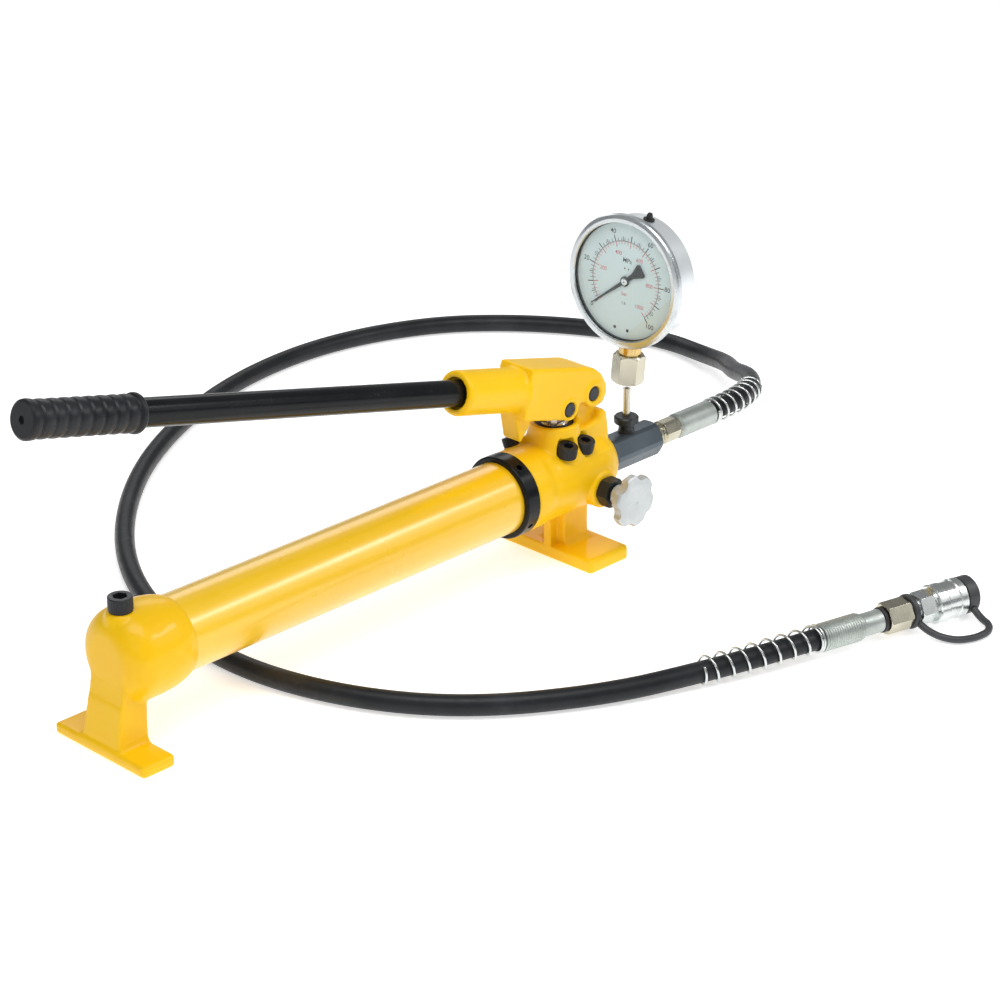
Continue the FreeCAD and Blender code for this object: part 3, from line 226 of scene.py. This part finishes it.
# --------------------------------------------------------------- materials
class Nodes:
    def __init__(self, name):
        self.m = bpy.data.materials.new(name)
        self.m.use_nodes = True
        self.t = self.m.node_tree
        self.t.nodes.clear()
        self.out = self.t.nodes.new("ShaderNodeOutputMaterial")
        self.coord = self.t.nodes.new("ShaderNodeTexCoord")

    def add(self, kind, **values):
        n = self.t.nodes.new(kind)
        for k, v in values.items():
            setattr(n, k, v)
        return n

    def wire(self, a, b):
        self.t.links.new(a, b)

    def noise(self, scale, detail=3.0, rough=0.5, stretch=None):
        n = self.add("ShaderNodeTexNoise")
        n.inputs["Scale"].default_value = scale
        n.inputs["Detail"].default_value = detail
        n.inputs["Roughness"].default_value = rough
        src = self.coord.outputs["Object"]
        if stretch is not None:
            mp = self.add("ShaderNodeMapping")
            mp.inputs["Scale"].default_value = stretch
            self.wire(src, mp.inputs["Vector"])
            src = mp.outputs["Vector"]
        self.wire(src, n.inputs["Vector"])
        return n.outputs["Fac"]

    def ramp(self, fac, stops):
        r = self.add("ShaderNodeValToRGB")
        e = r.color_ramp.elements
        while len(e) > 1:
            e.remove(e[-1])
        e[0].position, e[0].color = stops[0][0], stops[0][1]
        for pos, col in stops[1:]:
            x = e.new(pos)
            x.color = col
        self.wire(fac, r.inputs["Fac"])
        return r.outputs["Color"]

    def span(self, fac, lo, hi):
        r = self.add("ShaderNodeMapRange")
        r.inputs["From Min"].default_value = 0.3
        r.inputs["From Max"].default_value = 0.7
        r.inputs["To Min"].default_value = lo
        r.inputs["To Max"].default_value = hi
        self.wire(fac, r.inputs["Value"])
        return r.outputs["Result"]

    def bump(self, height, strength, distance, normal=None):
        b = self.add("ShaderNodeBump")
        b.inputs["Strength"].default_value = strength
        b.inputs["Distance"].default_value = distance
        self.wire(height, b.inputs["Height"])
        if normal is not None:
            self.wire(normal, b.inputs["Normal"])
        return b.outputs["Normal"]

    def bevel(self, radius):
        b = self.add("ShaderNodeBevel")
        b.samples = 4
        b.inputs["Radius"].default_value = radius
        return b.outputs["Normal"]


def c4(r, g, b):
    return (r, g, b, 1.0)


def surface(name, colors, rough, metallic=0.0, tone_scale=18.0, rough_scale=120.0, bump=None, coat=0.0, coat_rough=0.08,
            edge=None, spec=0.5, stretch=None, wear=None):
    """A principled surface with colour and roughness variation, fine bump and softened edges."""
    k = Nodes(name)
    p = k.add("ShaderNodeBsdfPrincipled")
    k.wire(p.outputs["BSDF"], k.out.inputs["Surface"])
    tone = k.noise(tone_scale, 4.0, 0.55, stretch)
    col = k.ramp(tone, [(0.30, c4(*colors[0])), (0.52, c4(*colors[1])), (0.72, c4(*colors[2]))])
    if wear:
        spots = k.noise(wear[0], 6.0, 0.7)
        mask = k.add("ShaderNodeMapRange")
        mask.inputs["From Min"].default_value = wear[1]
        mask.inputs["From Max"].default_value = wear[1] + 0.06
        k.wire(spots, mask.inputs["Value"])
        mix = k.add("ShaderNodeMix", data_type="RGBA")
        k.wire(mask.outputs["Result"], mix.inputs["Factor"])
        k.wire(col, mix.inputs["A"])
        mix.inputs["B"].default_value = c4(*wear[2])
        col = mix.outputs["Result"]
    k.wire(col, p.inputs["Base Color"])
    k.wire(k.span(k.noise(rough_scale, 3.0, 0.6, stretch), rough[0], rough[1]), p.inputs["Roughness"])
    p.inputs["Metallic"].default_value = metallic
    p.inputs["Specular IOR Level"].default_value = spec
    p.inputs["Coat Weight"].default_value = coat
    p.inputs["Coat Roughness"].default_value = coat_rough
    normal = k.bevel(edge) if edge else None
    if bump:
        for scale, strength, distance, st in bump:
            normal = k.bump(k.noise(scale, 3.0, 0.6, st), strength, distance, normal)
    if normal is not None:
        k.wire(normal, p.inputs["Normal"])
        if coat:
            k.wire(normal, p.inputs["Coat Normal"])
    return k.m


YEL = [(0.97, 0.555, 0.003), (0.98, 0.585, 0.004), (0.99, 0.615, 0.006)]
mat = {
    "cast": surface("cast_yellow", YEL, (0.34, 0.46), tone_scale=9.0, rough_scale=60.0, coat=0.22, coat_rough=0.10,
                    bump=[(140.0, 0.08, 0.0006, None), (900.0, 0.04, 0.0002, None)], spec=0.20),
    "tube": surface("tube_yellow", YEL, (0.26, 0.34), tone_scale=6.0, rough_scale=30.0, coat=0.70, coat_rough=0.18, edge=0.0006,
                    bump=[(300.0, 0.03, 0.0002, None)], spec=0.7),
    "black": surface("black_oxide", [(0.010, 0.012, 0.015), (0.015, 0.018, 0.022), (0.022, 0.026, 0.031)], (0.28, 0.42),
                     tone_scale=40.0, rough_scale=300.0, edge=0.0005,
                     bump=[(1500.0, 0.12, 0.0001, None)], spec=0.35),
    "slate": surface("slate_black", [(0.085, 0.108, 0.126), (0.108, 0.134, 0.155), (0.130, 0.158, 0.182)], (0.32, 0.42),
                     metallic=0.70, tone_scale=25.0, rough_scale=260.0, edge=0.0008,
                     bump=[(1400.0, 0.10, 0.0001, None)], spec=0.5),
    "gloss_black": surface("gloss_black", [(0.004, 0.005, 0.006), (0.006, 0.007, 0.008), (0.009, 0.010, 0.012)], (0.18, 0.28),
                           tone_scale=20.0, rough_scale=120.0, edge=0.0004,
                           bump=[(600.0, 0.05, 0.0001, None)], spec=0.20),
    "zinc": surface("zinc_nut", [(0.54, 0.51, 0.39), (0.59, 0.56, 0.45), (0.64, 0.61, 0.51)], (0.16, 0.24), metallic=1.0,
                    tone_scale=22.0, rough_scale=120.0, edge=0.0005, bump=[(700.0, 0.03, 0.0001, None)]),
    "ferrule": surface("zinc_ferrule", [(0.40, 0.44, 0.41), (0.50, 0.54, 0.51), (0.60, 0.63, 0.60)], (0.38, 0.52), metallic=0.85,
                       tone_scale=40.0, rough_scale=300.0, edge=0.0006, bump=[(500.0, 0.12, 0.0002, None)]),
    "bright": surface("bright_steel", [(0.62, 0.65, 0.64), (0.68, 0.71, 0.70), (0.73, 0.76, 0.75)], (0.20, 0.30), metallic=1.0,
                      tone_scale=20.0, rough_scale=120.0, edge=0.0003, bump=[(900.0, 0.02, 0.0001, None)]),
    "gauge": surface("satin_stainless", [(0.82, 0.86, 0.88), (0.86, 0.90, 0.92), (0.90, 0.94, 0.96)], (0.28, 0.36), metallic=0.60,
                     tone_scale=8.0, rough_scale=60.0, edge=0.0006, bump=[(90.0, 0.03, 0.0001, None)]),
    "bezel": surface("bezel_stainless", [(0.60, 0.64, 0.66), (0.65, 0.69, 0.71), (0.70, 0.74, 0.76)], (0.24, 0.32), metallic=0.90,
                     tone_scale=8.0, rough_scale=60.0, edge=0.0006, bump=[(90.0, 0.03, 0.0001, None)]),
    "knob": surface("matt_alloy", [(0.50, 0.53, 0.54), (0.58, 0.61, 0.62), (0.66, 0.69, 0.70)], (0.40, 0.52), metallic=0.75,
                    tone_scale=40.0, rough_scale=500.0, edge=0.0007, bump=[(1300.0, 0.18, 0.00015, None)]),
    "brass": surface("brass", [(0.56, 0.38, 0.12), (0.70, 0.50, 0.20), (0.80, 0.62, 0.32)], (0.18, 0.30), metallic=1.0,
                     tone_scale=60.0, rough_scale=400.0, edge=0.0004, bump=[(1200.0, 0.08, 0.0001, None)]),
    "grip": surface("grip_rubber", [(0.009, 0.010, 0.012), (0.014, 0.015, 0.018), (0.020, 0.022, 0.025)], (0.30, 0.42),
                    tone_scale=30.0, rough_scale=300.0, edge=0.0006,
                    bump=[(900.0, 0.14, 0.0002, None)], spec=0.27),
    "seal": surface("seal_rubber", [(0.012, 0.012, 0.013), (0.020, 0.020, 0.021), (0.030, 0.030, 0.031)], (0.45, 0.60),
                    tone_scale=60.0, rough_scale=300.0, edge=0.0003, bump=[(1500.0, 0.2, 0.0001, None)]),
    "strap": surface("strap_rubber", [(0.030, 0.032, 0.035), (0.045, 0.047, 0.050), (0.060, 0.062, 0.065)], (0.40, 0.52),
                     tone_scale=40.0, rough_scale=300.0, edge=0.0004, bump=[(1000.0, 0.12, 0.0001, None)]),
    "dial": surface("dial_enamel", [(0.76, 0.86, 0.88), (0.78, 0.88, 0.90), (0.80, 0.90, 0.92)], (0.40, 0.50),
                    tone_scale=20.0, rough_scale=200.0, bump=[(1200.0, 0.04, 0.00005, None)]),
    "ink": surface("dial_ink", [(0.012, 0.016, 0.018), (0.020, 0.024, 0.026), (0.030, 0.034, 0.036)], (0.50, 0.60),
                   tone_scale=200.0, rough_scale=800.0),
    "red": surface("dial_red", [(0.60, 0.12, 0.14), (0.66, 0.16, 0.18), (0.72, 0.20, 0.22)], (0.50, 0.60),
                   tone_scale=200.0, rough_scale=800.0),
    "mesh": surface("strainer_mesh", [(0.40, 0.40, 0.40), (0.50, 0.50, 0.50), (0.58, 0.58, 0.58)], (0.30, 0.45), metallic=1.0,
                    tone_scale=90.0, rough_scale=600.0, bump=[(3000.0, 0.4, 0.0002, None)]),
}


def hose_material():
    """Black rubber cover with the fine cross-wrapped cloth print of a pressure hose."""
    k = Nodes("hose_rubber")
    p = k.add("ShaderNodeBsdfPrincipled")
    k.wire(p.outputs["BSDF"], k.out.inputs["Surface"])
    tone = k.noise(35.0, 4.0, 0.6)
    k.wire(k.ramp(tone, [(0.3, c4(0.010, 0.012, 0.014)), (0.55, c4(0.016, 0.018, 0.021)), (0.75, c4(0.026, 0.029, 0.033))]),
           p.inputs["Base Color"])
    k.wire(k.span(k.noise(240.0, 3.0, 0.6), 0.34, 0.46), p.inputs["Roughness"])
    p.inputs["Specular IOR Level"].default_value = 0.26
    w1 = k.add("ShaderNodeTexWave")
    w1.wave_type = "BANDS"
    w1.bands_direction = "DIAGONAL"
    w1.inputs["Scale"].default_value = 260.0
    w1.inputs["Distortion"].default_value = 1.2
    w1.inputs["Detail"].default_value = 2.0
    k.wire(k.coord.outputs["Object"], w1.inputs["Vector"])
    n1 = k.bump(w1.outputs["Fac"], 0.10, 0.0001)
    n2 = k.bump(k.noise(800.0, 3.0, 0.6), 0.16, 0.00015, n1)
    k.wire(n2, p.inputs["Normal"])
    return k.m


def glass_material():
    """Clear window: mostly see-through, with a mirror sheen that grows at a slant."""
    k = Nodes("gauge_window")
    mix = k.add("ShaderNodeMixShader")
    clear = k.add("ShaderNodeBsdfTransparent")
    tint = k.ramp(k.noise(6.0, 2.0, 0.5), [(0.3, c4(0.965, 0.985, 0.985)), (0.7, c4(0.975, 0.992, 0.992))])
    k.wire(tint, clear.inputs["Color"])
    shine = k.add("ShaderNodeBsdfGlossy")
    k.wire(k.span(k.noise(40.0, 2.0, 0.5), 0.02, 0.05), shine.inputs["Roughness"])
    shine.inputs["Color"].default_value = c4(0.95, 0.97, 0.98)
    fres = k.add("ShaderNodeFresnel")
    fres.inputs["IOR"].default_value = 1.45
    soft = k.add("ShaderNodeMath", operation="MULTIPLY")
    soft.inputs[1].default_value = 0.30
    k.wire(fres.outputs["Fac"], soft.inputs[0])
    k.wire(soft.outputs["Value"], mix.inputs["Fac"])
    k.wire(clear.outputs["BSDF"], mix.inputs[1])
    k.wire(shine.outputs["BSDF"], mix.inputs[2])
    k.wire(mix.outputs["Shader"], k.out.inputs["Surface"])
    return k.m


mat["hose"] = hose_material()
mat["window"] = glass_material()

LOOK = {
    "pump_head": "cast", "rear_cap": "cast", "handle_block": "cast", "reservoir_tube": "tube",
    "lock_ring": "gloss_black", "filler_plug": "black", "filler_washer": "seal", "tube_seals": "seal",
    "suction_pipe": "zinc", "suction_strainer": "mesh", "plunger_gland": "black", "plunger_seal": "seal",
    "plunger_wiper": "seal", "plunger": "bright", "suction_check_ball": "bright", "delivery_check_ball": "bright",
    "delivery_check_spring": "zinc", "relief_valve_plugs": "black", "relief_valve_springs": "zinc",
    "relief_valve_balls": "bright", "bleed_plug": "black", "release_gland_nut": "black", "release_seal": "seal",
    "release_spindle": "zinc", "release_ball": "bright", "release_knob": "knob", "handle_tube": "gloss_black",
    "handle_grip": "grip", "fulcrum_pin": "black", "plunger_pin": "black", "pin_clips": "black", "outlet_block": "slate",
    "outlet_ring": "slate", "gauge_adapter": "black", "gauge_stem": "zinc", "gauge_nut": "zinc", "gauge_socket": "brass",
    "gauge_bezel": "bezel", "gauge_glass": "window", "gauge_gasket": "seal", "gauge_dial": "dial", "gauge_case": "gauge",
    "gauge_fill_plug": "seal", "bourdon_tube": "brass", "gauge_movement": "brass", "gauge_needle": "ink",
    "hose_nut": "zinc", "hose_ferrule": "ferrule", "tool_sleeve": "ferrule", "tool_stem": "ferrule", "tool_seal_ring": "seal",
    "tool_nut": "zinc", "coupler_body": "bright", "coupler_collar": "bright", "dust_cap": "strap", "dust_cap_strap": "strap",
    "hose": "hose", "hose_guard_spring": "bright", "tool_guard_spring": "bright",
}


def paint(obj, key):
    obj.data.materials.clear()
    obj.data.materials.append(mat[key])


for name, key in LOOK.items():
    if name in N:
        paint(N[name], key)
paint(hose, "hose")
paint(pump_spring, "bright")
paint(tool_spring, "bright")
paint(strap, "strap")


# --------------------------------------------------------- soft cast bodies
def casting(node, name, body, voxel, passes, factor=0.5):
    """The casting with the blended, rounded edges that a sand casting has."""
    me = N[node].data.copy()
    me.name = name
    o = bpy.data.objects.new(name, me)
    scene.collection.objects.link(o)
    w = o.modifiers.new("weld", "WELD")
    w.merge_threshold = 0.00002
    r = o.modifiers.new("remesh", "REMESH")
    r.mode = "VOXEL"
    r.voxel_size = voxel
    r.adaptivity = 0.0
    s = o.modifiers.new("smooth", "SMOOTH")
    s.factor = factor
    s.iterations = passes
    bpy.context.view_layer.update()
    dg = bpy.context.evaluated_depsgraph_get()
    done = bpy.data.meshes.new_from_object(o.evaluated_get(dg))
    bpy.data.objects.remove(o)
    done.name = name
    for f in done.polygons:
        f.use_smooth = True
    o = link(name, done, body)
    paint(o, "cast")
    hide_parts(node)
    return o


casting("pump_head", "head_casting", "pump", 0.0009, 9)
casting("rear_cap", "rear_casting", "pump", 0.0011, 12)
casting("handle_block", "lever_casting", "handle", 0.0009, 9)


# ------------------------------------------------------------- dial print
lam, psi, rho = math.radians(3.0), math.radians(4.4), math.radians(3.0)
FRONT = Vector((-math.cos(lam) * math.cos(psi), -math.cos(lam) * math.sin(psi), math.sin(lam)))
UP = (Vector((0, 0, 1)) - FRONT * FRONT.z).normalized()
UP = (UP * math.cos(rho) + UP.cross(FRONT) * math.sin(rho)).normalized()
RIGHT = UP.cross(FRONT)
GAUGE = Vector((0.0732, 0.0, 0.1282)) + UP * 0.0910 + FRONT * 0.0207
# the dial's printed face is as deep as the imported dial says
DIAL_Z = max((v.co - GAUGE).dot(FRONT) for v in N["gauge_dial"].data.vertices) + 0.00005


def on_dial(x, y, z=0.0):
    return GAUGE + RIGHT * (x / 1000) + UP * (y / 1000) + FRONT * (DIAL_Z + z / 1000)


ZERO, SWEEP = 221.5, 270.0


def print_piece(name, quads, texts, key):
    bm = bmesh.new()
    for pts in quads:
        vs = [bm.verts.new(on_dial(x, y)) for x, y in pts]
        bm.faces.new(vs)
    me = bpy.data.meshes.new(name)
    bm.to_mesh(me)
    bm.free()
    parts = [me]
    for body, x, y, h in texts:
        cu = bpy.data.curves.new("print_text", "FONT")
        cu.body = body
        cu.size = h
        cu.align_x = "CENTER"
        cu.align_y = "CENTER"
        cu.resolution_u = 6
        cu.offset = 0.02
        o = bpy.data.objects.new("print_text", cu)
        scene.collection.objects.link(o)
        bpy.context.view_layer.update()
        t = bpy.data.meshes.new_from_object(o.evaluated_get(bpy.context.evaluated_depsgraph_get()))
        bpy.data.objects.remove(o)
        for v in t.vertices:
            v.co = on_dial(x + v.co.x, y + v.co.y)
        parts.append(t)
    bm = bmesh.new()
    for p in parts:
        bm.from_mesh(p)
    whole = bpy.data.meshes.new(name)
    bm.to_mesh(whole)
    bm.free()
    o = link(name, whole, "pump")
    paint(o, key)
    return o


def tick(angle, r0, r1, w):
    a = math.radians(angle)
    d, s = (math.cos(a), math.sin(a)), (-math.sin(a), math.cos(a))
    return [(d[0] * r0 + s[0] * w / 2, d[1] * r0 + s[1] * w / 2), (d[0] * r0 - s[0] * w / 2, d[1] * r0 - s[1] * w / 2),
            (d[0] * r1 - s[0] * w / 2, d[1] * r1 - s[1] * w / 2), (d[0] * r1 + s[0] * w / 2, d[1] * r1 + s[1] * w / 2)]


def arc(r0, r1, a0, a1, steps):
    out = []
    for i in range(steps):
        u, v = [math.radians(a0 + (a1 - a0) * (i + k) / steps) for k in (0, 1)]
        out.append([(r0 * math.cos(u), r0 * math.sin(u)), (r1 * math.cos(u), r1 * math.sin(u)),
                    (r1 * math.cos(v), r1 * math.sin(v)), (r0 * math.cos(v), r0 * math.sin(v))])
    return out


def disc(x, y, r, n=20):
    return [[(x + r * math.cos(2 * math.pi * i / n), y + r * math.sin(2 * math.pi * i / n)) for i in range(n)]]


black, black_text, red, red_text = [], [], [], []
for i in range(101):
    a = ZERO - SWEEP * i / 100
    if i % 10 == 0:
        black.append(tick(a, 33.6, 38.8, 0.80))
    elif i % 5 == 0:
        black.append(tick(a, 33.6, 37.2, 0.55))
    elif i % 2 == 0:
        black.append(tick(a, 33.6, 36.1, 0.42))
black += arc(33.4, 33.7, ZERO, ZERO - SWEEP, 90)
for i in range(101):
    a = ZERO - SWEEP * i / 100
    if i % 10 == 0:
        red.append(tick(a, 28.6, 33.0, 0.70))
    elif i % 2 == 0:
        red.append(tick(a, 30.6, 33.0, 0.42))
red += arc(32.9, 33.15, ZERO, ZERO - SWEEP, 90)
for k in range(6):
    a = math.radians(ZERO - SWEEP * k / 5)
    black_text.append((str(20 * k), 42.2 * math.cos(a), 42.2 * math.sin(a), 5.6))
    if k:
        red_text.append((str(200 * k), 24.0 * math.cos(a), 24.0 * math.sin(a), 4.6))
black_text.append(("MPa", 0.0, 17.4, 5.4))
red_text.append(("bar", 0.0, -11.0, 4.4))
black_text.append(("1.6", 0.0, -18.8, 3.6))
black += disc(-6.4, -41.0, 1.4) + disc(6.6, -41.0, 1.4)
black += disc(-1.9, 33.0 * 0 + 10.6, 0.7) + disc(1.9, 10.6, 0.7)
print_piece("dial_print_black", black, black_text, "ink")
print_piece("dial_print_red", red, red_text, "red")

# bright domed cap of the pointer's boss
bm = bmesh.new()
needle_top = max((v.co - GAUGE).dot(FRONT) for v in N["gauge_needle"].data.vertices)
rings = [(3.3, -0.30), (3.2, -0.05), (2.6, 0.18), (1.4, 0.27), (0.9, 0.24), (0.8, 0.12)]
prev = None
for r, h in rings:
    ring = []
    for i in range(32):
        a = 2 * math.pi * i / 32
        ring.append(bm.verts.new(GAUGE + RIGHT * (r * math.cos(a) / 1000) + UP * (r * math.sin(a) / 1000)
                                 + FRONT * (needle_top + h / 1000)))
    if prev:
        for i in range(32):
            bm.faces.new((prev[i], prev[(i + 1) % 32], ring[(i + 1) % 32], ring[i]))
    prev = ring
bm.faces.new(prev)
me = bpy.data.meshes.new("pointer_cap")
bm.to_mesh(me)
bm.free()
for f in me.polygons:
    f.use_smooth = True
cap = link("pointer_cap", me, "needle")
paint(cap, "bright")


# ------------------------------------------------------------ floor, light
def floor_material():
    k = Nodes("studio_floor")
    p = k.add("ShaderNodeBsdfPrincipled")
    tone = k.ramp(k.noise(1.5, 2.0, 0.5), [(0.3, c4(0.90, 0.90, 0.90)), (0.7, c4(0.92, 0.92, 0.92))])
    k.wire(tone, p.inputs["Base Color"])
    p.inputs["Roughness"].default_value = 0.75
    p.inputs["Specular IOR Level"].default_value = 0.15
    p.inputs["Emission Color"].default_value = c4(1.0, 1.0, 1.0)
    p.inputs["Emission Strength"].default_value = 0.56
    k.wire(p.outputs["BSDF"], k.out.inputs["Surface"])
    return k.m


bm = bmesh.new()
bmesh.ops.create_grid(bm, x_segments=2, y_segments=2, size=30.0)
me = bpy.data.meshes.new("floor")
bm.to_mesh(me)
bm.free()
floor = bpy.data.objects.new("floor", me)
scene.collection.objects.link(floor)
floor.location = (0, 0, -0.0004)
floor.data.materials.append(floor_material())

world = bpy.data.worlds.new("Studio")
scene.world = world
world.use_nodes = True
wt = world.node_tree
wt.nodes.clear()
wo = wt.nodes.new("ShaderNodeOutputWorld")
wb = wt.nodes.new("ShaderNodeBackground")
wb.inputs["Strength"].default_value = 0.30
wg = wt.nodes.new("ShaderNodeTexGradient")
wm = wt.nodes.new("ShaderNodeMapping")
wc = wt.nodes.new("ShaderNodeTexCoord")
wr = wt.nodes.new("ShaderNodeValToRGB")
wm.inputs["Rotation"].default_value = (0.0, math.radians(90.0), 0.0)
wt.links.new(wc.outputs["Generated"], wm.inputs["Vector"])
wt.links.new(wm.outputs["Vector"], wg.inputs["Vector"])
wt.links.new(wg.outputs["Fac"], wr.inputs["Fac"])
wr.color_ramp.elements[0].position, wr.color_ramp.elements[0].color = 0.0, c4(0.70, 0.72, 0.75)
wr.color_ramp.elements[1].position, wr.color_ramp.elements[1].color = 0.9, c4(1.0, 1.0, 1.0)
wt.links.new(wr.outputs["Color"], wb.inputs["Color"])
wt.links.new(wb.outputs["Background"], wo.inputs["Surface"])


def softbox(name, at, target, sx, sy, power, color=(1, 1, 1)):
    li = bpy.data.lights.new(name, "AREA")
    li.shape = "RECTANGLE"
    li.size, li.size_y = sx, sy
    li.energy = power
    li.color = color
    o = bpy.data.objects.new(name, li)
    scene.collection.objects.link(o)
    o.location = at
    d = Vector(target) - Vector(at)
    o.rotation_euler = d.to_track_quat("-Z", "Y").to_euler()
    return o


softbox("key", (-0.60, -0.45, 1.85), (-0.15, 0.0, 0.05), 1.7, 1.0, 21.0)
softbox("fill", (-1.7, -1.0, 0.9), (-0.1, 0.0, 0.08), 1.2, 1.0, 1.8)
softbox("right", (1.0, -1.5, 1.0), (0.05, 0.0, 0.08), 0.9, 0.9, 2.4)
softbox("strip", (0.80, -1.13, 1.25), (-0.36, 0.0, 0.09), 0.85, 0.24, 5.5)
softbox("back", (0.9, 1.6, 1.3), (0.0, 0.1, 0.05), 1.6, 0.8, 7.0)

scene.view_settings.view_transform = "Standard"
scene.view_settings.look = "None"
scene.view_settings.exposure = 0.0
